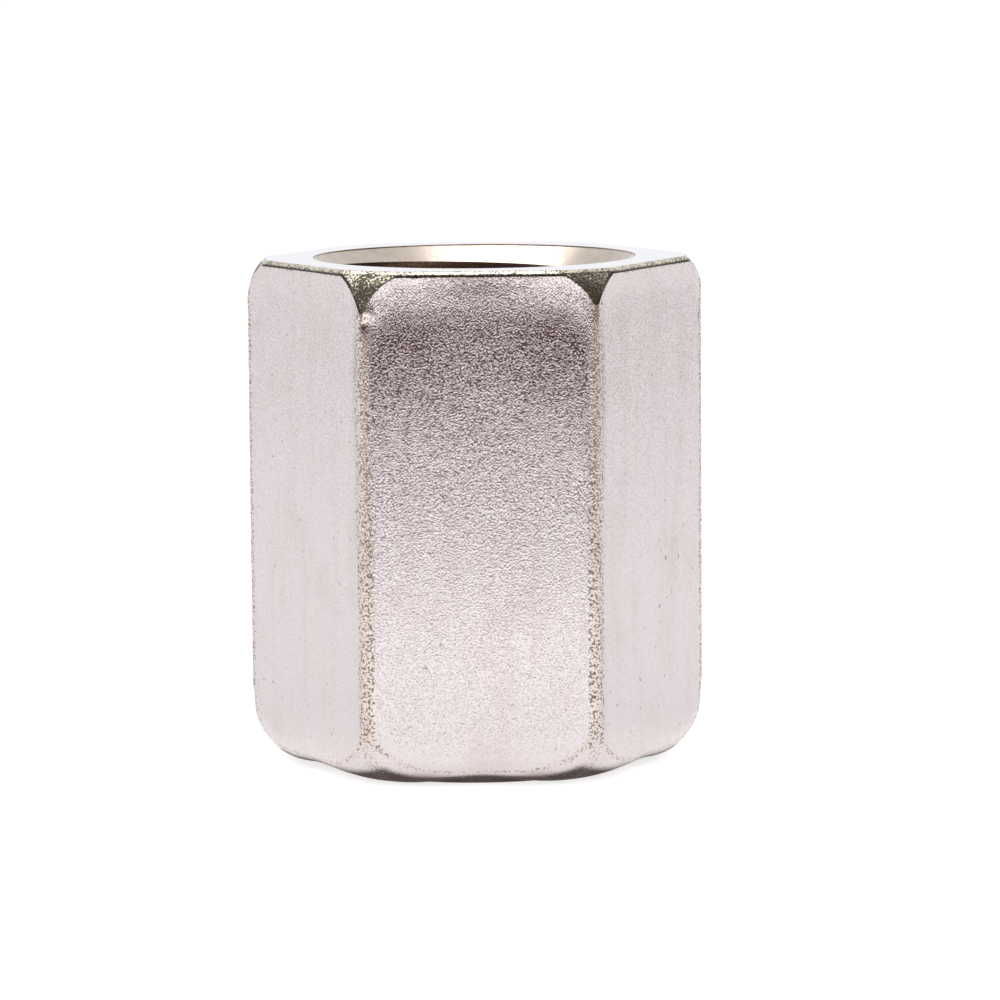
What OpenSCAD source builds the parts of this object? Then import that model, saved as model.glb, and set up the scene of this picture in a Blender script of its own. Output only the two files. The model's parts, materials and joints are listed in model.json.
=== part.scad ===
// Hexagon pipe coupling: a short hexagonal socket with a female pipe thread at each end, a stop collar
// half way along, and a flat gasket lying on each side of that collar.
//
// Frame: millimetres, +Z up along the pipe, origin on the bore's axis at the lower end face.
// Two of the flats face -Y and +Y.

/* [Body] */
// Width of the hexagon across its flats, which is the spanner size
across_flats = 27; // [27:0.5:32]
// Length of the coupling along the pipe
body_length = 34.5; // [30:0.5:45]
// Rounding of the hexagon's six long edges
long_edge_r = 0.75; // [0.4:0.05:1.5]
// How far below the upper face the turning starts to take the corners off
upper_turn_h = 3.4; // [2:0.1:4]
// Radius of the arc that the upper corners are turned to
upper_turn_r = 5.3; // [5:0.1:8]
// Radius that the lower corners are rounded to
lower_round_r = 4.5; // [3:0.1:4.5]

/* [Pipe thread] */
// Major diameter of the female thread, at its roots (G 1/2)
thread_major_d = 20.955; // [20.6:0.005:21]
// Minor diameter of the female thread, at its crests (G 1/2)
thread_minor_d = 18.631; // [18.2:0.001:19.2]
// Diameter of the upper mouth, at the wide end of its 90 degree countersink
upper_mouth_d = 22; // [21.6:0.1:22.6]
// Diameter of the lower mouth, at the wide end of its 90 degree countersink
lower_mouth_d = 21.4; // [21.2:0.1:21.8]

/* [Stop collar and gaskets] */
// Diameter of the waterway through the stop collar
waterway_d = 13.5; // [11:0.5:15]
// Thickness of the stop collar
collar_h = 2.5; // [1.5:0.5:4]
// Thickness of each flat gasket
gasket_h = 2; // [1:0.5:2.5]
// Outer diameter of each gasket, which is more than the thread's crests, so that they keep it in
gasket_outer_d = 20; // [19.5:0.1:20.4]
// Hole through each gasket
gasket_hole_d = 13; // [10:0.5:14]

/* [Hidden] */
$fn = 96;
cut = 1;             // how far a cutting shape runs past the metal
arc_cones = 9;       // cones that stand for each arc of the turned envelope
mouth_land = 0.1;    // plain length of each mouth above its countersink
relief_play = 0.3;   // how much wider the reliefs are than the thread's major diameter
gasket_play = 0.3;   // spare height of a relief over its gasket

corner_r = across_flats / sqrt(3);               // axis to a sharp corner
inner_corner_r = corner_r - 2 * long_edge_r / sqrt(3);  // axis to the centre of a corner's rounding
relief_r = (thread_major_d + relief_play) / 2;
minor_r = thread_minor_d / 2;
waterway_r = waterway_d / 2;
collar_top = (body_length + collar_h) / 2;
collar_bottom = (body_length - collar_h) / 2;
relief_h = gasket_h + gasket_play;

// The hexagon with its long edges rounded: three bars across the flats, and a round bar in each corner.
module rounded_hexagon_bar() {
    for (turn = [0:60:120])
        rotate([0, 0, turn])
            translate([-inner_corner_r / 2, -across_flats / 2, 0])
                cube([inner_corner_r, across_flats, body_length]);
    for (turn = [0:60:300])
        rotate([0, 0, turn])
            translate([inner_corner_r, 0, 0])
                cylinder(r = long_edge_r, h = body_length);
}

// The round shape that limits the corners: a turned arc above, a forged rounding below.
module turned_envelope() {
    lower_arc = [for (i = [0:arc_cones]) let (a = 90 * i / arc_cones)
        [corner_r - lower_round_r + lower_round_r * sin(a), lower_round_r * (1 - cos(a))]];
    upper_sweep = asin(upper_turn_h / upper_turn_r);
    upper_arc = [for (i = [0:arc_cones]) let (a = upper_sweep * i / arc_cones)
        [corner_r - upper_turn_r * (1 - cos(a)), body_length - upper_turn_h + upper_turn_r * sin(a)]];
    rotate_extrude()
        polygon(concat([[0, 0]], lower_arc, upper_arc, [[0, body_length]]));
}

// One socket as a cutting shape, standing on the collar's face and opening upwards.
module socket_cut(mouth_r) {
    depth = body_length - collar_top;
    sink_h = mouth_r - minor_r;
    rotate_extrude()
        polygon([
            [0, 0], [relief_r, 0], [relief_r, relief_h], [minor_r, relief_h],
            [minor_r, depth - mouth_land - sink_h], [mouth_r, depth - mouth_land], [mouth_r, depth],
            [mouth_r, depth + cut], [0, depth + cut],
        ]);
}

// The one piece of brass: hexagon outside, two threaded sockets and a stop collar inside.
module coupling_body() {
    color("gainsboro")
    difference() {
        intersection() {
            rounded_hexagon_bar();
            turned_envelope();
        }
        translate([0, 0, collar_top]) socket_cut(upper_mouth_d / 2);
        translate([0, 0, collar_bottom]) mirror([0, 0, 1]) socket_cut(lower_mouth_d / 2);
        translate([0, 0, collar_bottom - cut]) cylinder(r = waterway_r, h = collar_h + 2 * cut);
    }
}

// A flat rubber ring, lying with its lower face at height z.
module gasket(z) {
    color("dimgray")
    translate([0, 0, z])
    difference() {
        cylinder(d = gasket_outer_d, h = gasket_h);
        translate([0, 0, -cut]) cylinder(d = gasket_hole_d, h = gasket_h + 2 * cut);
    }
}

module upper_gasket() { gasket(collar_top); }
module lower_gasket() { gasket(collar_bottom - gasket_h); }

coupling_body();
upper_gasket();
lower_gasket();
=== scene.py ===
# %% [markdown]
# # A hexagon pipe coupling in plated brass
# This file is a lesson in cells. It builds the looks of a short female pipe coupling: one brass body with
# a hexagon outside and a pipe thread in each end, and two flat gaskets that lie on its stop collar.
# The sizes come from the design, which is loaded as a fixed frame. Everything is in metres, +Z is up.

# %% Load the frame
import json
import math

import bmesh
import bpy
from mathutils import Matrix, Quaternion, Vector, noise


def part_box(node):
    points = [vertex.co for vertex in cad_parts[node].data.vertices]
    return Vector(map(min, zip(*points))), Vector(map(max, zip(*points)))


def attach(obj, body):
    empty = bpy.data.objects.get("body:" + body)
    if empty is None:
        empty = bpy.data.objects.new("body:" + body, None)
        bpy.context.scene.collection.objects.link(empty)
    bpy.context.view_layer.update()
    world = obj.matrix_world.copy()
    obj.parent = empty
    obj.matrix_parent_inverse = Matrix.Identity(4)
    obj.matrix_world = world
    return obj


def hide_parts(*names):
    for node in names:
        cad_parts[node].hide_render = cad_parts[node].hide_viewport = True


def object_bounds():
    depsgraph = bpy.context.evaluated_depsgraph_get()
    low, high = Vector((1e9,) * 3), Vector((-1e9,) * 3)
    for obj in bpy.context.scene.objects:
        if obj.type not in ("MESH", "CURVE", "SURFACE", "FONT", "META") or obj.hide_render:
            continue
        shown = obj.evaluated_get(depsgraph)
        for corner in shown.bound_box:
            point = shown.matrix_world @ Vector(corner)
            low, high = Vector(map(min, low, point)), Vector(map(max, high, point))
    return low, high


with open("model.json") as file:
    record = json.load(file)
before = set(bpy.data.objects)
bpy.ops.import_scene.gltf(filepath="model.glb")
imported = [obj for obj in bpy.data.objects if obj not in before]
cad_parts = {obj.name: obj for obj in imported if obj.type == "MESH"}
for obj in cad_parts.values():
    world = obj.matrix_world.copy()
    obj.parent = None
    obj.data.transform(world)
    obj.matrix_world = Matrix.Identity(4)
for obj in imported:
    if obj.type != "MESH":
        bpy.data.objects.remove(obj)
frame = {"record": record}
cad_low, cad_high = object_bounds()
MM = 0.001
print("the design's box in mm:", [round(size / MM, 2) for size in cad_high - cad_low])

# %% [markdown]
# ## Camera
# A long lens from a little above shows the hexagon nearly as a drawing would, with just enough of the
# upper end to see the turned ring and the mouth. The camera's place is worked out from three things: how
# far off it stands, how high, and how far round. It is tipped by half a degree about its own axis.

# %% Camera
CAMERA_DISTANCE = 349.6 * MM
CAMERA_ELEVATION = math.radians(7.15)
CAMERA_ROUND = math.radians(-1.18)
CAMERA_TIP = math.radians(-0.47)
LENS_MM = 183.5
LENS_SHIFT = (0.0238, 0.0069)

middle = (cad_low + cad_high) / 2
towards_camera = Vector((
    math.sin(CAMERA_ROUND) * math.cos(CAMERA_ELEVATION),
    -math.cos(CAMERA_ROUND) * math.cos(CAMERA_ELEVATION),
    math.sin(CAMERA_ELEVATION),
))
camera = bpy.data.objects.new("camera", bpy.data.cameras.new("camera"))
bpy.context.scene.collection.objects.link(camera)
camera.location = middle + towards_camera * CAMERA_DISTANCE
camera.rotation_mode = "QUATERNION"
level = (-towards_camera).to_track_quat("-Z", "Y")
camera.rotation_quaternion = level @ Quaternion((0, 0, 1), CAMERA_TIP)
camera.data.lens = LENS_MM
camera.data.shift_x, camera.data.shift_y = LENS_SHIFT
camera.data.clip_start = 10 * MM
bpy.context.scene.camera = camera
print("the camera stands at", [round(place, 3) for place in camera.location])

# %% [markdown]
# ## Driving sizes
# The hexagon's size, the length, the thread's crest radius and the collar's faces are read from the
# design. The rest are the maker's own sizes: how the corners are turned off at the upper end, how the
# lower end is rounded, and the figures of the G 1/2 pipe thread, which has 14 turns to the inch.

# %% Driving sizes
body_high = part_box("coupling_body")[1]
APOTHEM = body_high.y
LENGTH = body_high.z
CORNER_R = APOTHEM / math.cos(math.radians(30))
LONG_EDGE_R = 0.75 * MM
TURN_R = 5.3 * MM
TURN_START = LENGTH - 3.4 * MM
FOOT_R = 4.5 * MM

mounts = {mount["name"]: mount for mount in frame["record"]["mounts"]}
CREST_R = mounts["upper_socket"]["dims"]["r_mm"] * MM
ROOT_R = 20.955 / 2 * MM
PITCH = 25.4 / 14 * MM
UPPER_MOUTH_R = 11.0 * MM
LOWER_MOUTH_R = 10.7 * MM
MOUTH_LAND = 0.1 * MM
JOIN_R = ROOT_R + 0.08 * MM
RELIEF_R = 21.255 / 2 * MM

COLLAR_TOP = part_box("upper_gasket")[0].z
COLLAR_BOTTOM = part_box("lower_gasket")[1].z
RELIEF_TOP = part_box("upper_gasket")[1].z + 0.3 * MM
WATERWAY_R = 6.75 * MM
print("across flats", round(2 * APOTHEM / MM, 2), "mm, crest radius", round(CREST_R / MM, 3), "mm")

# %% [markdown]
# ## The hexagon's outline
# Seen from above, the body is a hexagon whose long edges are rounded. One function gives the distance
# from the axis to that outline in any direction. Two more give the round limits: the arc that the lathe
# cut at the upper end, and the arc that the forging die left at the lower end.

# %% Outline functions
EDGE_CENTRE_R = CORNER_R - 2 * LONG_EDGE_R / math.sqrt(3)
EDGE_HALF_ANGLE = math.atan2(LONG_EDGE_R / 2, EDGE_CENTRE_R + LONG_EDGE_R * math.cos(math.radians(30)))


def off_corner(theta):
    """The angle between the direction theta and the nearest long edge."""
    sixth = math.radians(60)
    return abs((theta + sixth / 2) % sixth - sixth / 2)


def hexagon_r(theta):
    """The distance from the axis to the hexagon with rounded long edges."""
    turn = off_corner(theta)
    if turn < EDGE_HALF_ANGLE:
        across = EDGE_CENTRE_R * math.sin(turn)
        return EDGE_CENTRE_R * math.cos(turn) + math.sqrt(LONG_EDGE_R ** 2 - across ** 2)
    return APOTHEM / math.cos(math.radians(30) - turn)


def turned_r(z):
    """The lathe's arc at the upper end."""
    rise = max(z - TURN_START, 0)
    return CORNER_R - TURN_R + math.sqrt(TURN_R ** 2 - rise ** 2)


def foot_r(z):
    """The forging's arc at the lower end."""
    drop = max(FOOT_R - z, 0)
    return CORNER_R - FOOT_R + math.sqrt(FOOT_R ** 2 - drop ** 2)


def soft_min(a, b, blend):
    """The smaller of two lengths, with the crossing rounded off over the length blend."""
    near = max(blend - abs(a - b), 0) / blend
    return min(a, b) - near ** 2 * blend / 4


print("corner radius", round(hexagon_r(0) / MM, 3), "mm")
print("radius of the turned top", round(turned_r(LENGTH) / MM, 3), "mm")

# %% [markdown]
# ## Wear and dents
# A part that has been blasted, plated and thrown in a bin isn't a perfect prism. The flats wave by some
# hundredths of a millimetre, the lathe cut a little deeper on one side and pushed a low lip of metal out
# at the top of each flat, the forging's foot is raised between the corners, and a few corners have a
# dent. Reflections show all of this, so it is real shape here and not only bump.

# %% Wear and dents
OFF_CENTRE = 0.085 * MM
RIM_R = 0.26 * MM
RIM_SHAPE = 1.3
SEAM_H = 0.12 * MM
FLAT_LIFT = 0.5 * MM
LIFT_SHAPE = 1.3
LIP_REACH = 2.0 * MM
LIP_OUT = 0.12 * MM
LIP_SHAPE = 1.15
HOLLOW_AT = 2.7 * MM
HOLLOW_WIDTH = 1.2 * MM
HOLLOW_DEPTH = 0.022 * MM
BULGE_AT = 9.0 * MM
BULGE_WIDTH = 5.0 * MM
BULGE_OUT = 0.05 * MM
WAVE_LENGTH = 7 * MM
WAVE_HEIGHT = 0.012 * MM
# Each dent: direction in degrees, height, how wide, how deep. A depth below zero is a burr that stands out.
DENTS = [
    (240.8, LENGTH - 3.4 * MM, 0.42 * MM, 0.07 * MM),
    (241.8, LENGTH - 2.8 * MM, 0.35 * MM, -0.03 * MM),
    (253.0, LENGTH - 0.45 * MM, 0.16 * MM, -0.06 * MM),
    (306.0, 2.3 * MM, 0.60 * MM, 0.06 * MM),
    (185.0, LENGTH - 4.2 * MM, 0.50 * MM, 0.05 * MM),
    (61.0, 9.0 * MM, 0.70 * MM, 0.07 * MM),
    (121.0, 24.0 * MM, 0.60 * MM, 0.06 * MM),
]


def wave(theta, z):
    """How far the blasted skin stands out from its true shape."""
    place = Vector((math.cos(theta) * CORNER_R, math.sin(theta) * CORNER_R, z)) / WAVE_LENGTH
    return WAVE_HEIGHT * (noise.noise(place) + 0.35 * noise.noise(place * 2.7))


def dent(theta, z, reach):
    """How far the dents press the skin in at one place."""
    depth = 0
    for degrees, height, size, deep in DENTS:
        along = reach * math.sin(theta - math.radians(degrees))
        if abs(along) < 3 * size and math.cos(theta - math.radians(degrees)) > 0:
            depth += deep * math.exp(-(along ** 2 + (z - height) ** 2) / size ** 2)
    return depth


def off_centre(theta):
    """How much further in the lathe cut in this direction, because the blank didn't run quite true."""
    return OFF_CENTRE * math.cos(theta - math.radians(210))


def lift(theta):
    """How far the foot is raised in this direction: not at all at a corner, most in a flat's middle."""
    return FLAT_LIFT * ((1 - math.cos(6 * theta)) / 2) ** LIFT_SHAPE


def lip(below, side):
    """The low lip at the top of a flat, the hollow under it and the slight bulge under that."""
    strength = 0.5 + 0.5 * min((side - APOTHEM) / (0.8 * MM), 1)
    strength *= min((CORNER_R - side) / (0.6 * MM), 1)
    pushed_out = LIP_OUT * max(1 - below / LIP_REACH, 0) ** LIP_SHAPE
    pressed_in = HOLLOW_DEPTH * math.exp(-((below - HOLLOW_AT) / HOLLOW_WIDTH) ** 2)
    bulge = BULGE_OUT * math.exp(-((below - BULGE_AT) / BULGE_WIDTH) ** 2)
    return strength * (pushed_out - pressed_in + bulge)


# %% [markdown]
# ## One outline for every column
# The skin could be cut out of a block with booleans, but that leaves long thin faces that won't bend.
# It is easier to spin a straight line into a plain tube of rings and columns, and then move each
# column's vertices onto the outline that the body has in that direction. The rows follow the real edges,
# so the turned corners keep a crisp border. The outline starts inside the lower mouth, goes round the
# foot, up the flat, over the turned corner and the rim, and ends inside the upper mouth.

# %% The outline of one column
ROWS = {"foot": 26, "flat": 56, "turned": 9, "rim": 6, "face": 5}
EDGE_CROWDING = 1.6


def between(start, end, steps):
    """Evenly spaced values after start, up to end."""
    return [start + (end - start) * step / steps for step in range(1, steps + 1)]


def sunk(mouth_r):
    """How deep the skin's own part of a mouth's countersink goes, before the thread cuts into it."""
    return MOUTH_LAND + mouth_r - JOIN_R


def edge_height(side, theta):
    """Where a flat meets the turned corner, or the worn rim in the middle of the flat."""
    reach = side + off_centre(theta) - (CORNER_R - TURN_R)
    met = TURN_START + math.sqrt(max(TURN_R ** 2 - reach ** 2, 0))
    return min(met, LENGTH - RIM_R - SEAM_H)


def column(theta):
    """The body's outline in the direction theta: a list of (finish, radius, height)."""
    side = hexagon_r(theta)
    edge = edge_height(side, theta)
    blend = 0.6 * MM + 0.8 * MM * off_corner(theta) / math.radians(30)
    outline = [
        ("mouth", JOIN_R, sunk(LOWER_MOUTH_R)),
        ("mouth", LOWER_MOUTH_R, MOUTH_LAND),
        ("mouth", LOWER_MOUTH_R, 0),
        ("face", LOWER_MOUTH_R + MOUTH_LAND, 0),
    ]
    raised = lift(theta)
    for angle in [0] + between(0, math.pi / 2, ROWS["foot"]):
        z = FOOT_R * (1 - math.cos(angle))
        outline.append(("skin", soft_min(side, foot_r(z), blend), raised + z * (1 - raised / FOOT_R)))
    for share in between(0, 1, ROWS["flat"]):
        z = edge - (edge - FOOT_R) * (1 - share) ** EDGE_CROWDING
        outline.append(("skin", side + lip(edge - z, side), z))
    for z in between(edge, LENGTH - RIM_R, ROWS["turned"]):
        outline.append(("turned", min(side, turned_r(z) - off_centre(theta)), z))
    rim = min(side, turned_r(LENGTH - RIM_R) - off_centre(theta))
    for angle in between(0, math.pi / 2, ROWS["rim"]):
        inward = RIM_R * (1 - math.cos(angle) ** (2 / RIM_SHAPE)) if angle < math.pi / 2 else RIM_R
        down = RIM_R * (1 - math.sin(angle) ** (2 / RIM_SHAPE))
        outline.append(("rim", rim - inward, LENGTH - down))
    for radius in between(rim - RIM_R, UPPER_MOUTH_R, ROWS["face"]):
        outline.append(("face", radius, LENGTH))
    outline.append(("mouth", UPPER_MOUTH_R, LENGTH - MOUTH_LAND))
    outline.append(("mouth", JOIN_R, LENGTH - sunk(UPPER_MOUTH_R)))
    return outline


sample = column(math.radians(270))
print("an outline has", len(sample), "points; the flat's upper edge is at",
      round(edge_height(APOTHEM, math.radians(270)) / MM, 2), "mm")

# %% [markdown]
# ## Spinning the skin
# The straight line has one vertex for each point of the outline, at heights 0, 1, 2 and so on. After the
# spin a vertex's height is still its row, so it knows where it belongs. The columns are crowded towards
# the long edges, where the outline bends, and each vertex keeps four measures for the finish to use.

# %% Spin the skin
COLUMNS = 480
CROWDING = 0.6
FINISHES = ["blasted_nickel", "tarnished_turning", "bright_turning", "plated_thread"]
FINISH_OF = {"skin": 0, "turned": 1, "rim": 1, "face": 2, "mouth": 3, "thread": 3}
# How far a vertex is below the flat's upper edge, past the foot's border, above the foot, off a long edge.
MEASURES = ("edge_mm", "foot_mm", "under_mm", "corner_mm")


def spun_tube(rows, columns):
    """A tube of rings of radius 1, spun from a straight line whose vertices are 1 apart."""
    bm = bmesh.new()
    line = [bm.verts.new((1, 0, row)) for row in range(rows)]
    edges = [bm.edges.new(pair) for pair in zip(line, line[1:])]
    bmesh.ops.spin(bm, geom=line + edges, cent=(0, 0, 0), axis=(0, 0, 1),
                   angle=math.tau, steps=columns, use_merge=True)
    return bm


def shape_skin(bm):
    """Move each vertex of the tube to its place on the body, and measure its place for the finish."""
    measures = {name: bm.verts.layers.float.new(name) for name in MEASURES}
    outlines = {}
    for vert in bm.verts:
        row = round(vert.co.z)
        number = round(math.atan2(vert.co.y, vert.co.x) / math.tau * COLUMNS) % COLUMNS
        theta = math.tau * number / COLUMNS
        theta -= CROWDING / 6 * math.sin(6 * theta)
        if number not in outlines:
            outlines[number] = column(theta)
        kind, radius, z = outlines[number][row]
        side = hexagon_r(theta)
        if kind in ("skin", "turned"):
            foot_fade = min(z / FOOT_R, 1)
            radius += (wave(theta, z) * foot_fade - dent(theta, z, side))
        vert.co = Vector((radius * math.cos(theta), radius * math.sin(theta), z))
        vert[measures["edge_mm"]] = (edge_height(side, theta) - z) / MM
        foot_z = max(z - lift(theta), 0) / (1 - lift(theta) / FOOT_R)
        vert[measures["under_mm"]] = foot_z / MM
        vert[measures["foot_mm"]] = (foot_r(foot_z) - side) / MM
        vert[measures["corner_mm"]] = off_corner(theta) * side / MM


kinds = [kind for kind, radius, z in sample]
skin = spun_tube(len(kinds), COLUMNS)
for face in skin.faces:
    face.material_index = FINISH_OF[kinds[max(round(vert.co.z) for vert in face.verts)]]
shape_skin(skin)
print("the skin has", len(skin.faces), "faces")

# %% [markdown]
# ## The pipe thread
# A female thread could be faked with a bump, but anyone who looks into the mouth would see smooth walls.
# It is modelled as it is cut: the thread's profile, with flanks at 55 degrees and round crests and roots,
# is spun once round the axis while it rises by one pitch. One turn of several teeth is the whole helix,
# because each tooth ends where the next began. Counter-clockwise and rising makes it right-handed.

# %% Spin the threads
THREAD_STEPS = 120
TOOTH_ROUND_R = 0.137329 * PITCH
FLANK_TURN = math.radians(62.5)
THREAD_PHASE = 0.82 * MM
JOIN_STEP = 0.02 * MM


def tooth(start):
    """One pitch of the thread's profile above start: a round root, then a round crest."""
    points = []
    for half, sign, radius in ((0, -1, ROOT_R), (PITCH / 2, 1, CREST_R)):
        for angle in (-FLANK_TURN, -FLANK_TURN / 2, 0, FLANK_TURN / 2, FLANK_TURN):
            away = TOOTH_ROUND_R * (1 - math.cos(angle))
            points.append((radius + sign * away, 0, start + half + TOOTH_ROUND_R * math.sin(angle)))
    return points


def opened_r(z, mouth_r):
    """The least radius of the upper socket at height z: its countersink, and its relief over the collar."""
    below_mouth = LENGTH - MOUTH_LAND - z
    return max(mouth_r - JOIN_STEP - below_mouth, RELIEF_R - max(z - RELIEF_TOP, 0))


def socket_thread(mouth_r):
    """The upper socket's wall from the collar to the skin's edge, with a true helical thread."""
    bm = bmesh.new()
    top = LENGTH - sunk(mouth_r)
    teeth = math.ceil((top - COLLAR_TOP) / PITCH) + 3
    lowest = COLLAR_TOP - 2 * PITCH - THREAD_PHASE
    points = [point for turn in range(teeth) for point in tooth(lowest + turn * PITCH)]
    line = [bm.verts.new(point) for point in points]
    edges = [bm.edges.new(pair) for pair in zip(line, line[1:])]
    bmesh.ops.spin(bm, geom=line + edges, cent=(0, 0, 0), axis=(0, 0, 1), dvec=(0, 0, PITCH / THREAD_STEPS),
                   angle=math.tau, steps=THREAD_STEPS, use_merge=False)
    bmesh.ops.remove_doubles(bm, verts=bm.verts, dist=MM / 1000)
    for height, direction in ((top, 1), (COLLAR_TOP, -1)):
        bmesh.ops.bisect_plane(bm, geom=bm.verts[:] + bm.edges[:] + bm.faces[:], dist=MM / 10000,
                               plane_co=(0, 0, height), plane_no=(0, 0, direction), clear_outer=True)
    for vert in bm.verts:
        wider = max(opened_r(vert.co.z, mouth_r) / math.hypot(vert.co.x, vert.co.y), 1)
        vert.co.x *= wider
        vert.co.y *= wider
    for face in bm.faces:
        face.material_index = FINISH_OF["thread"]
    return bm


upper_thread = socket_thread(UPPER_MOUTH_R)
lower_thread = socket_thread(LOWER_MOUTH_R)
for vert in lower_thread.verts:
    vert.co = Vector((vert.co.x, -vert.co.y, LENGTH - vert.co.z))
print("the threads have", len(upper_thread.faces), "and", len(lower_thread.faces), "faces")

# %% [markdown]
# ## Joining the body
# The lower socket is the upper one turned end for end, which keeps its thread right-handed where a mirror
# would not. The collar is a short tube from a circle. The flat rings that join them, one at each
# entry and one on each side of the collar, are filled between two circles that lie in one plane.

# %% Join the body
WATERWAY_EDGE = 0.15 * MM


def add_part(whole, part):
    """Copy one bmesh into another."""
    mesh = bpy.data.meshes.new("part")
    part.to_mesh(mesh)
    whole.from_mesh(mesh)
    bpy.data.meshes.remove(mesh)
    part.free()


def collar_bore():
    """The waterway's wall through the collar, with a small bevel at each end."""
    bm = bmesh.new()
    mouth_r = WATERWAY_R + WATERWAY_EDGE
    ring = bmesh.ops.create_circle(bm, segments=THREAD_STEPS, radius=mouth_r, cap_ends=False)
    bmesh.ops.translate(bm, verts=ring["verts"], vec=(0, 0, COLLAR_TOP))
    edges = bm.edges[:]
    steps = [(WATERWAY_R, COLLAR_TOP - WATERWAY_EDGE), (WATERWAY_R, COLLAR_BOTTOM + WATERWAY_EDGE),
             (WATERWAY_R + WATERWAY_EDGE, COLLAR_BOTTOM)]
    for radius, height in steps:
        grown = bmesh.ops.extrude_edge_only(bm, edges=edges)["geom"]
        edges = [part for part in grown if isinstance(part, bmesh.types.BMEdge)]
        for vert in (part for part in grown if isinstance(part, bmesh.types.BMVert)):
            scale = radius / math.hypot(vert.co.x, vert.co.y)
            vert.co = Vector((vert.co.x * scale, vert.co.y * scale, height))
    for face in bm.faces:
        face.material_index = FINISH_OF["thread"]
    return bm


def fill_ring(bm, height):
    """Fill the flat ring between the two open circles at this height."""
    level_edges = [edge for edge in bm.edges if edge.is_boundary
                   and all(abs(vert.co.z - height) < MM / 1000 for vert in edge.verts)]
    filled = bmesh.ops.triangle_fill(bm, edges=level_edges, use_beauty=True, normal=(0, 0, 1))["geom"]
    faces = [part for part in filled if isinstance(part, bmesh.types.BMFace)]
    for face in faces:
        face.material_index = FINISH_OF["thread"]
    return len(faces)


body = skin
add_part(body, upper_thread)
add_part(body, lower_thread)
add_part(body, collar_bore())
for ring_height in (LENGTH - sunk(UPPER_MOUTH_R), COLLAR_TOP, COLLAR_BOTTOM, sunk(LOWER_MOUTH_R)):
    print("ring at", round(ring_height / MM, 2), "mm:", fill_ring(body, ring_height), "faces")
bmesh.ops.remove_doubles(body, verts=body.verts, dist=MM / 10000)
bmesh.ops.recalc_face_normals(body, faces=body.faces)
print("open edges left:", sum(edge.is_boundary or not edge.is_manifold for edge in body.edges))

# %% [markdown]
# ## From bmesh to a piece
# Smooth shading hides the facets, and the real edges are marked sharp: where two faces meet at a steep
# angle, and where one finish stops at another, as on the border of a turned corner.

# %% Make the pieces
SHARP_ANGLE = math.radians(32)
# Blasted to tarnished, and tarnished to bright.
SHARP_BORDERS = ({0, 1}, {1, 2})


def make_piece(name, bm, finishes, node):
    """Make a bmesh a finished object: shaded, named, riding on its body, in place of its design node."""
    for face in bm.faces:
        face.smooth = True
    for edge in bm.edges:
        a, b = edge.link_faces
        border = {a.material_index, b.material_index} in SHARP_BORDERS
        edge.smooth = not (border or edge.calc_face_angle() > SHARP_ANGLE)
    mesh = bpy.data.meshes.new(name)
    bm.to_mesh(mesh)
    bm.free()
    for finish in finishes:
        mesh.materials.append(bpy.data.materials.get(finish) or bpy.data.materials.new(finish))
    piece = bpy.data.objects.new(name, mesh)
    bpy.context.scene.collection.objects.link(piece)
    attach(piece, "root")
    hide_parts(node)
    print(name, "has", len(mesh.polygons), "faces")


make_piece("plated_body", body, FINISHES, "coupling_body")

# %% [markdown]
# ## Gaskets
# Each gasket is a flat rubber ring with moulded, slightly rounded edges. A rectangle spun round the axis
# gives the ring, and a bevel rounds its four circular edges.

# %% Gaskets
GASKET_EDGE = 0.25 * MM


def gasket(name, node):
    """Make a flat ring with rounded edges, the size of its design node."""
    low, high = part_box(node)
    hole_r = 6.5 * MM
    bm = bmesh.new()
    corners = [(hole_r, low.z), (high.x, low.z), (high.x, high.z), (hole_r, high.z)]
    verts = [bm.verts.new((radius, 0, height)) for radius, height in corners]
    edges = [bm.edges.new((verts[i], verts[(i + 1) % 4])) for i in range(4)]
    bmesh.ops.spin(bm, geom=verts + edges, cent=(0, 0, 0), axis=(0, 0, 1),
                   angle=math.tau, steps=THREAD_STEPS, use_merge=True)
    bmesh.ops.recalc_face_normals(bm, faces=bm.faces)
    corners = [edge for edge in bm.edges if edge.calc_face_angle(0) > math.radians(80)]
    bmesh.ops.bevel(bm, geom=corners, offset=GASKET_EDGE, segments=4, profile=0.5,
                    affect="EDGES", material=-1)
    make_piece(name, bm, ["gasket_rubber"], node)


gasket("upper_gasket_ring", "upper_gasket")
gasket("lower_gasket_ring", "lower_gasket")

# %% [markdown]
# ## Writing shader sums in Python
# A finish is mostly sums: this mask times that noise, one less the other. A small class wraps a socket
# and overloads the arithmetic, so that a Python expression adds the Math nodes that it needs. Every
# other node comes from one method, which takes the node's type, its settings and its inputs.

# %% Shader helpers
class Wire:
    """An output socket that takes part in Python sums."""

    def __init__(self, finish, socket):
        self.finish = finish
        self.socket = socket

    def combined(self, operation, first, second):
        return self.finish.node("ShaderNodeMath", {"operation": operation}, {0: first, 1: second})

    def __add__(self, other):
        return self.combined("ADD", self, other)

    def __radd__(self, other):
        return self.combined("ADD", other, self)

    def __sub__(self, other):
        return self.combined("SUBTRACT", self, other)

    def __rsub__(self, other):
        return self.combined("SUBTRACT", other, self)

    def __mul__(self, other):
        return self.combined("MULTIPLY", self, other)

    def __rmul__(self, other):
        return self.combined("MULTIPLY", other, self)


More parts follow.
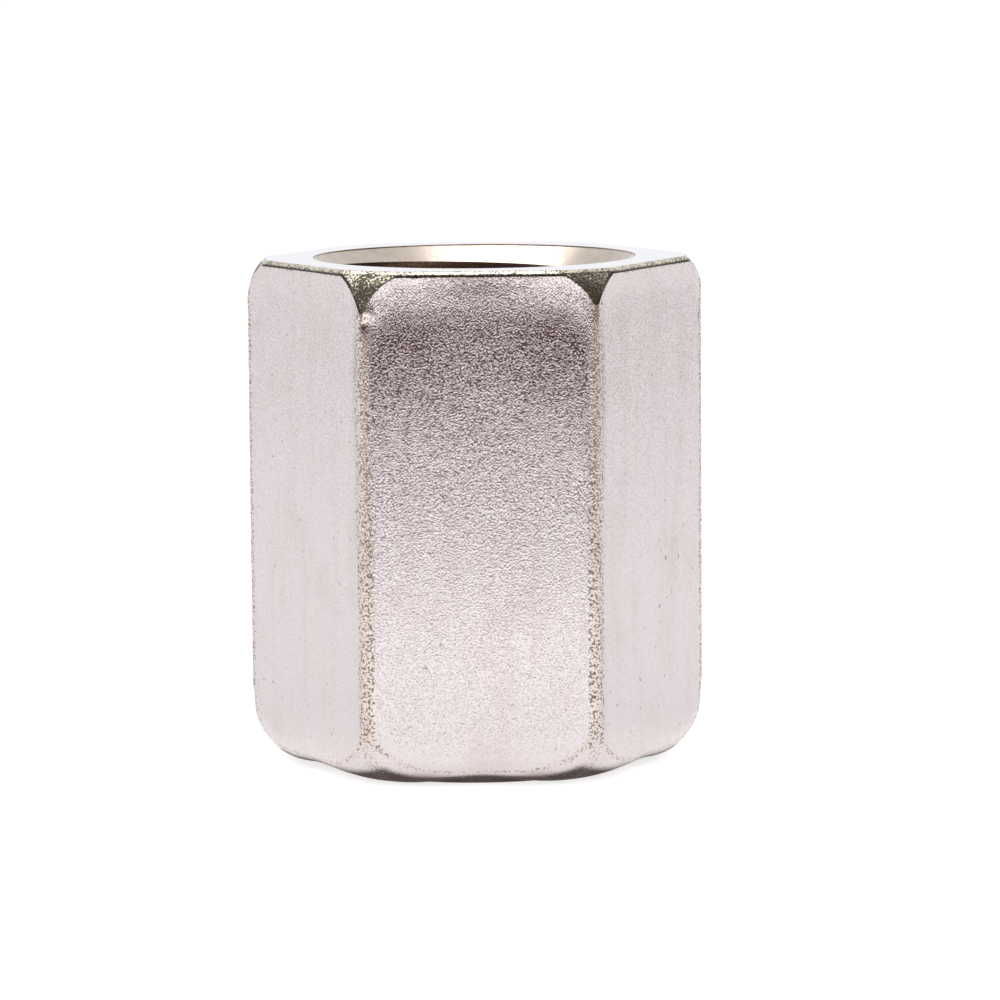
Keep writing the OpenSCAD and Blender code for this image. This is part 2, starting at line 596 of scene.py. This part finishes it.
class Finish:
    """A material with a Principled shader, and short ways to add what feeds it."""

    def __init__(self, name):
        self.material = bpy.data.materials.get(name) or bpy.data.materials.new(name)
        self.material.use_nodes = True
        self.tree = self.material.node_tree
        self.shader = self.tree.nodes["Principled BSDF"]
        self.place = self.node("ShaderNodeTexCoord", output="Object")

    def node(self, kind, settings=None, values=None, output=0):
        """Add a node: its settings first, then the values or links of its sockets."""
        node = self.tree.nodes.new(kind)
        for name, value in (settings or {}).items():
            setattr(node, name, value)
        for name, value in (values or {}).items():
            self.feed(self.find(node.inputs, name), value)
        return Wire(self, self.find(node.outputs, output))

    @staticmethod
    def find(sockets, name):
        """The socket in use that has this name or number."""
        if isinstance(name, int):
            return sockets[name]
        return next(socket for socket in sockets if socket.name == name and socket.enabled)

    def feed(self, socket, value):
        """Link a wire to a socket, or set the socket's own value."""
        if isinstance(value, Wire):
            self.tree.links.new(value.socket, socket)
        elif socket.type == "RGBA":
            socket.default_value = (*value, 1)
        else:
            socket.default_value = value

    def set(self, **values):
        """Set or link the shader's sockets: Base_Color stands for Base Color."""
        for name, value in values.items():
            self.feed(self.shader.inputs[name.replace("_", " ")], value)

    def noise(self, size, detail=2, stretch=(1, 1, 1), roughness=0.5):
        """Noise from 0 to 1 with lumps of this size in metres, longer along an axis by its stretch."""
        scale = [1 / (size * times) for times in stretch]
        inputs = {0: self.place, 1: scale}
        place = self.node("ShaderNodeVectorMath", {"operation": "MULTIPLY"}, inputs, "Vector")
        return self.node("ShaderNodeTexNoise", None,
                         {"Vector": place, "Scale": 1, "Detail": detail, "Roughness": roughness}, "Fac")

    def measure(self, name):
        """A measure that the mesh keeps at each vertex."""
        return self.node("ShaderNodeAttribute", {"attribute_name": name}, output="Fac")

    def rise(self, value, low, high):
        """0 where value is below low, 1 above high, and smooth between."""
        return self.node("ShaderNodeMapRange", {"interpolation_type": "SMOOTHSTEP"},
                         {"Value": value, "From Min": low, "From Max": high}, "Result")

    def mix(self, share, first, second):
        """Two colours mixed by share."""
        inputs = {"Factor": share, "A": first, "B": second}
        return self.node("ShaderNodeMix", {"data_type": "RGBA"}, inputs, "Result")

    def axis(self, name):
        """One coordinate of the place, in metres."""
        return self.node("ShaderNodeSeparateXYZ", None, {"Vector": self.place}, name)

    def bump(self, height, depth, over=None):
        """A normal that follows height, from 0 to 1, over a depth in metres."""
        values = {"Height": height, "Distance": depth, "Strength": 1}
        if over is not None:
            values["Normal"] = over
        return self.node("ShaderNodeBump", None, values, "Normal")


print("shader helpers are ready")

# %% [markdown]
# ## Blasted nickel
# The flats were blasted before plating, which leaves a fine orange-peel grain of shallow dimples under a
# smooth, bright coat of nickel. So the shader is smooth metal, and the grain is in its bump. Grime sits on
# the long edges and along the borders of the turned corners and the foot. The front flat has more dark
# crumbs in its grain than the others, most of all under its top edge: that is painted shade, a dark
# reflection painted into its colour. The foot's underside is darkened partly as dirt and partly as painted
# shade. First come the noises, from the finest grain to the broad stains, and the measures kept by the mesh.

# %% Noises and measures of the flats
skin_finish = Finish("blasted_nickel")
grain = skin_finish.noise(0.13 * MM, detail=1, stretch=(0.38, 0.38, 1))
peel = skin_finish.noise(0.9 * MM, detail=2)
streaks = skin_finish.noise(1.2 * MM, detail=3, stretch=(1, 1, 9))
stains = skin_finish.noise(4 * MM, detail=3)
specks = skin_finish.noise(0.16 * MM, detail=2)
pits = skin_finish.noise(0.5 * MM, detail=3)
flecks = skin_finish.noise(0.2 * MM, detail=3)
crumbs = skin_finish.noise(0.11 * MM, detail=2, stretch=(1.2, 1.2, 0.8))
edge, foot, under, corner = [skin_finish.measure(name) for name in MEASURES]
forward = skin_finish.axis("Y")
print("the flats use", len(skin_finish.tree.nodes), "nodes before their masks")

# %% [markdown]
# A mask is 1 where something shows and 0 elsewhere. Places are masked by the measures, and what lies in
# the grain by the noises. The grime is all the dark lines and specks together.

# %% Masks of the flats
on_corner = 1 - skin_finish.rise(corner, 0.35, 0.6)
beside_corner = skin_finish.rise(corner, 0.35, 0.5) * (1 - skin_finish.rise(corner, 0.5, 0.72))
beside_corner *= skin_finish.rise(under, 2.0, 4.0)
in_middle = skin_finish.rise(corner, 3.0, 6.5)
at_edge = 1 - skin_finish.rise(edge, 0.03, 0.16)
# Painted shade: the flats' grain is darkened more towards their top.
near_top = 1 - skin_finish.rise(edge, 6.0, 17.0)
corner_tip = 1 - skin_finish.rise(edge * 0.45 + corner, 0.17, 0.32)
at_foot = skin_finish.rise(foot, -0.15, 0.05) * (1 - skin_finish.rise(foot, 0.1, 0.4))
# Under the foot: partly dirt, partly painted shade where the floor beneath the part would be dark.
below_foot = 1 - skin_finish.rise(under + in_middle * 0.9, 0.6, 1.3)
grained = skin_finish.rise(edge, 0.3, 2.0) * (1 - skin_finish.rise(edge, 14.0, 26.0) * 0.5)
in_front = (1 - skin_finish.rise(forward, -13.0 * MM, -12.4 * MM)) * skin_finish.rise(corner, 0.3, 0.7)
# Painted shade: the front flat is darkened under its top edge, standing in for the dark reflection there.
painted_front_shade = skin_finish.rise(edge, 1.2, 4.0) * (1 - skin_finish.rise(edge, 4.5, 12.5))
painted_front_shade *= in_front * (1 - in_middle * 0.3)

in_hollows = 1 - skin_finish.rise(grain, 0.36, 0.52)
# Dark crumbs: a few specks of dirt on every flat, and many more on the front flat under its top edge as
# painted shade.
crumbs_and_front_shade = 1 - skin_finish.rise(crumbs, 0.37 + 0.04 * painted_front_shade, 0.48 + 0.05 * painted_front_shade)
crumbs_and_front_shade *= 0.05 + in_front * (0.2 + 0.4 * (1 - skin_finish.rise(edge, 12.0, 21.0)) + 0.35 * painted_front_shade)
crumbs_and_front_shade *= 0.2 + 0.8 * skin_finish.rise(under, 2.0, 4.5)
lines = beside_corner * 0.85 + on_corner * 0.62 + at_edge + at_foot * 0.8
speckle = skin_finish.rise(specks, 0.48, 0.66)
rare_pits = skin_finish.rise(pits, 0.67, 0.74) * 0.6 + skin_finish.rise(flecks, 0.64, 0.72) * 0.45
# The share from under the foot is partly dirt and partly painted shade.
grime = skin_finish.rise(lines * speckle + rare_pits + below_foot * 0.2 + corner_tip * 0.9, 0.1, 1.0)
print("and", len(skin_finish.tree.nodes), "with them")

# %% [markdown]
# Now one colour is laid over another, each by its own mask, from the clean nickel to the grime. Grime is
# dull and hardly metal, so it also changes how metallic and how rough the skin is.

# %% Blasted nickel
CLEAN_NICKEL = (0.60, 0.556, 0.553)
STREAK = (0.55, 0.485, 0.46)
MOTTLE = (0.42, 0.36, 0.35)
STAIN = (0.51, 0.44, 0.41)
HOLLOW_DIRT_AND_SHADE = (0.20, 0.12, 0.11)
CRUMB_AND_SHADE = (0.11, 0.055, 0.055)
PAINTED_FRONT_SHADE = (0.27, 0.20, 0.20)
WARM_NICKEL = (0.56, 0.475, 0.41)
UNDERSIDE_DIRT_AND_SHADE = (0.24, 0.19, 0.175)
GRIME = (0.13, 0.09, 0.065)

colour = skin_finish.mix(skin_finish.rise(streaks, 0.45, 0.75) * 0.45, CLEAN_NICKEL, STREAK)
colour = skin_finish.mix(skin_finish.rise(specks, 0.5, 0.7) * 0.28, colour, MOTTLE)
colour = skin_finish.mix(skin_finish.rise(stains, 0.5, 0.8) * 0.4, colour, STAIN)
# Dark hollows of the grain: dirt and painted shade in the pits, with more painted shade near the top.
colour = skin_finish.mix(in_hollows * (0.12 + 0.25 * near_top), colour, HOLLOW_DIRT_AND_SHADE)
# The crumbs are dirt, and on the front flat under its top edge also painted shade; the next mix is painted
# shade alone.
colour = skin_finish.mix(crumbs_and_front_shade, colour, CRUMB_AND_SHADE)
colour = skin_finish.mix(painted_front_shade * 0.1, colour, PAINTED_FRONT_SHADE)
colour = skin_finish.mix(on_corner * 0.35 + at_foot * 0.3, colour, WARM_NICKEL)
# The foot's underside: partly dirt, partly painted shade.
colour = skin_finish.mix(below_foot * 0.7, colour, UNDERSIDE_DIRT_AND_SHADE)
skin_finish.set(
    Base_Color=skin_finish.mix(grime * 0.85, colour, GRIME),
    Metallic=1 - grime * 0.6,
    Roughness=0.07 + 0.05 * stains + 0.35 * grime + 0.1 * below_foot,
    Normal=skin_finish.bump(grain * (0.3 + 0.7 * grained), 0.032 * MM, skin_finish.bump(peel, 0.01 * MM)),
)
print("the blasted nickel has", len(skin_finish.tree.nodes), "nodes")

# %% [markdown]
# ## Turned and tarnished corners
# The lathe left the corners rough, and oil and dust have darkened them to a brownish olive with bright
# specks where the metal has been rubbed, most of all near the rim. A dark seam of dirt marks the border
# with the flat, and the mesh's own measure of the distance to that border places it.

# %% Tarnished turning
corner_finish = Finish("tarnished_turning")
rubbed = corner_finish.noise(0.14 * MM, detail=2)
patches = corner_finish.noise(1.1 * MM, detail=2)
height = corner_finish.axis("Z")
on_rim = corner_finish.rise(height, LENGTH - 0.32 * MM, LENGTH - 0.12 * MM)
above_flat = corner_finish.measure("edge_mm")
seam = corner_finish.rise(above_flat, -0.2, -0.06)
high_up = corner_finish.rise(height, LENGTH - 1.8 * MM, LENGTH - 0.4 * MM)
wear = rubbed + patches * 0.35 + on_rim * 0.12 + high_up * 0.07
bright = corner_finish.rise(wear, 0.72, 0.88) * (1 - seam)
dark = corner_finish.mix(seam, (0.085, 0.075, 0.052), (0.03, 0.02, 0.014))
corner_finish.set(
    Base_Color=corner_finish.mix(bright, dark, (0.66, 0.60, 0.47)),
    Metallic=0.7 + 0.3 * bright,
    Roughness=0.34 - 0.14 * bright,
    Normal=corner_finish.bump(rubbed, 0.03 * MM),
)
print("the tarnished turning has", len(corner_finish.tree.nodes), "nodes")

# %% [markdown]
# ## Bright turning
# The flat ring on the upper end was cut by a sharp tool after forging, so it is bright, with a little haze
# and very fine marks that hardly show.

# %% Bright turning
bright_finish = Finish("bright_turning")
haze = bright_finish.noise(1.2 * MM, detail=3)
marks = bright_finish.noise(0.12 * MM, detail=2)
bright_finish.set(
    Base_Color=bright_finish.mix(haze, (0.74, 0.715, 0.73), (0.62, 0.595, 0.61)),
    Metallic=1.0,
    Roughness=0.07 + 0.12 * haze,
    Normal=bright_finish.bump(marks, 0.002 * MM),
)
print("the bright turning has", len(bright_finish.tree.nodes), "nodes")

# %% [markdown]
# ## Plated thread
# Plating hardly reaches down a bore, so the thread and its countersunk mouth are duller and more yellow
# than the outside.

# %% Plated thread
thread_finish = Finish("plated_thread")
dull = thread_finish.noise(0.8 * MM, detail=3)
thread_finish.set(
    Base_Color=thread_finish.mix(dull, (0.62, 0.545, 0.47), (0.40, 0.335, 0.275)),
    Metallic=1.0,
    Roughness=0.16 + 0.18 * dull,
    Normal=thread_finish.bump(dull, 0.006 * MM),
)
print("the plated thread has", len(thread_finish.tree.nodes), "nodes")

# %% [markdown]
# ## Gasket rubber
# Moulded black rubber is matt, with a fine tooth and a little bloom on its surface.

# %% Gasket rubber
rubber = Finish("gasket_rubber")
tooth_noise = rubber.noise(0.15 * MM, detail=3)
bloom = rubber.noise(2.5 * MM, detail=3)
rubber.set(
    Base_Color=rubber.mix(rubber.rise(bloom, 0.4, 0.8), (0.022, 0.022, 0.024), (0.055, 0.053, 0.05)),
    Roughness=0.55 + 0.2 * bloom,
    Normal=rubber.bump(tooth_noise, 0.02 * MM),
)
print("the rubber has", len(rubber.tree.nodes), "nodes")

# %% [markdown]
# ## Floor
# Polished metal shows its surroundings, so the light is a room for the metal to reflect. The floor comes
# first: pale and matt, with a glow of its own. It glows most some way in front, which the front flat
# reflects, and close round the part, which would otherwise stand in its own shade.

# %% Floor
FLOOR_SIZE = 3.0
GLOW_FAR = (0.93, 0.916, 0.911)
GLOW_NEAR = (0.62, 0.611, 0.607)
GLOW_BEHIND = (0.37, 0.366, 0.37)
GLOW_AROUND = (1.0, 0.985, 0.98)

floor_mesh = bpy.data.meshes.new("floor")
bm = bmesh.new()
bmesh.ops.create_grid(bm, x_segments=1, y_segments=1, size=FLOOR_SIZE / 2)
bm.to_mesh(floor_mesh)
bm.free()
floor = bpy.data.objects.new("floor", floor_mesh)
bpy.context.scene.collection.objects.link(floor)

floor_finish = Finish("pale_floor")
forward = floor_finish.axis("Y")
from_middle = floor_finish.node("ShaderNodeVectorMath", {"operation": "LENGTH"},
                                {0: floor_finish.place}, "Value")
near = floor_finish.rise(forward, -120 * MM, -30 * MM)
behind = floor_finish.rise(forward, -30 * MM, -5 * MM)
around = 1 - floor_finish.rise(from_middle, 12 * MM, 32 * MM)
glow = floor_finish.mix(near, GLOW_FAR, GLOW_NEAR)
glow = floor_finish.mix(behind, glow, GLOW_BEHIND)
floor_finish.set(
    Base_Color=(0.8, 0.79, 0.785),
    Roughness=0.9,
    Specular_IOR_Level=0.0,
    Emission_Color=floor_finish.mix(around * 0.36, glow, GLOW_AROUND),
    Emission_Strength=1.2,
)
floor_mesh.materials.append(floor_finish.material)
print("the floor is", FLOOR_SIZE, "m wide")

# %% [markdown]
# ## Dark cards
# White metal in a white room has no shape. A dark screen in front, where the viewer stands, darkens the
# top of the front flat, and a small dark sheet under the part does the same for its foot. Only
# reflections see them.

# %% Dark cards
SCREEN_R = 0.245
SCREEN_FOOT = 0.5 * MM
SCREEN_H = 0.42
SCREEN_START = math.radians(-62)
SCREEN_TURN = math.radians(150)
SCREEN_COLOUR = (1.0, 0.4, 0.5)
SCREEN_STRENGTH = 0.07
SHADE_R = 14.3 * MM
SHADE_COLOUR = (1.0, 0.85, 0.85)
SHADE_STRENGTH = 0.16


def about_axis(angle):
    """The matrix of a turn about the vertical axis."""
    return Quaternion((0, 0, 1), angle).to_matrix()


def dark_card(name, bm, colour, strength):
    """A dark card that only reflections see: it casts no shadow, and the camera looks through it."""
    mesh = bpy.data.meshes.new(name)
    bm.to_mesh(mesh)
    bm.free()
    card = bpy.data.objects.new(name, mesh)
    bpy.context.scene.collection.objects.link(card)
    card.visible_camera = False
    card.visible_diffuse = False
    card.visible_shadow = False
    finish = Finish(name)
    finish.set(Base_Color=(0.02, 0.02, 0.02), Roughness=1.0, Specular_IOR_Level=0.0,
               Emission_Color=colour, Emission_Strength=strength)
    mesh.materials.append(finish.material)
    print(name, "has", len(mesh.polygons), "faces")


bm = bmesh.new()
line = [bm.verts.new((0, -SCREEN_R, height)) for height in (SCREEN_FOOT, SCREEN_H)]
edge_line = bm.edges.new(line)
bmesh.ops.rotate(bm, verts=line, cent=(0, 0, 0), matrix=about_axis(SCREEN_START))
bmesh.ops.spin(bm, geom=line + [edge_line], cent=(0, 0, 0), axis=(0, 0, 1),
               angle=SCREEN_TURN, steps=30, use_merge=False)
dark_card("dark_screen", bm, SCREEN_COLOUR, SCREEN_STRENGTH)

bm = bmesh.new()
sheet = bmesh.ops.create_circle(bm, segments=6, radius=SHADE_R, cap_ends=True)["verts"]
bmesh.ops.rotate(bm, verts=sheet, cent=(0, 0, 0), matrix=about_axis(math.radians(30)))
bmesh.ops.translate(bm, verts=sheet, vec=(0, 0, 0.02 * MM))
dark_card("foot_shade", bm, SHADE_COLOUR, SHADE_STRENGTH)

# %% [markdown]
# ## White room and soft box
# The world stands for white walls, and a long soft box overhead puts the highlight into the mouth. The
# box is kept off matt surfaces, so that it leaves no pool of light on the floor.

# %% White room and soft box
ROOM_COLOUR = (0.96, 0.965, 1.0)
ROOM_STRENGTH = 1.08
BOX_PLACE = Vector((-0.05, -0.10, 0.62))
BOX_WIDTH = 0.95
BOX_DEPTH = 0.4
BOX_POWER = 2.9

world = bpy.data.worlds.new("white_room")
bpy.context.scene.world = world
world.use_nodes = True
background = world.node_tree.nodes["Background"]
background.inputs["Color"].default_value = (*ROOM_COLOUR, 1)
background.inputs["Strength"].default_value = ROOM_STRENGTH

lamp = bpy.data.lights.new("overhead_box", "AREA")
lamp.shape = "RECTANGLE"
lamp.size = BOX_WIDTH
lamp.size_y = BOX_DEPTH
lamp.energy = BOX_POWER
soft_box = bpy.data.objects.new("overhead_box", lamp)
bpy.context.scene.collection.objects.link(soft_box)
soft_box.location = BOX_PLACE
soft_box.rotation_euler = (middle - BOX_PLACE).to_track_quat("-Z", "Y").to_euler()
soft_box.visible_diffuse = False
bpy.context.scene.view_settings.view_transform = "Standard"
print("the soft box hangs at", [round(place, 2) for place in BOX_PLACE])
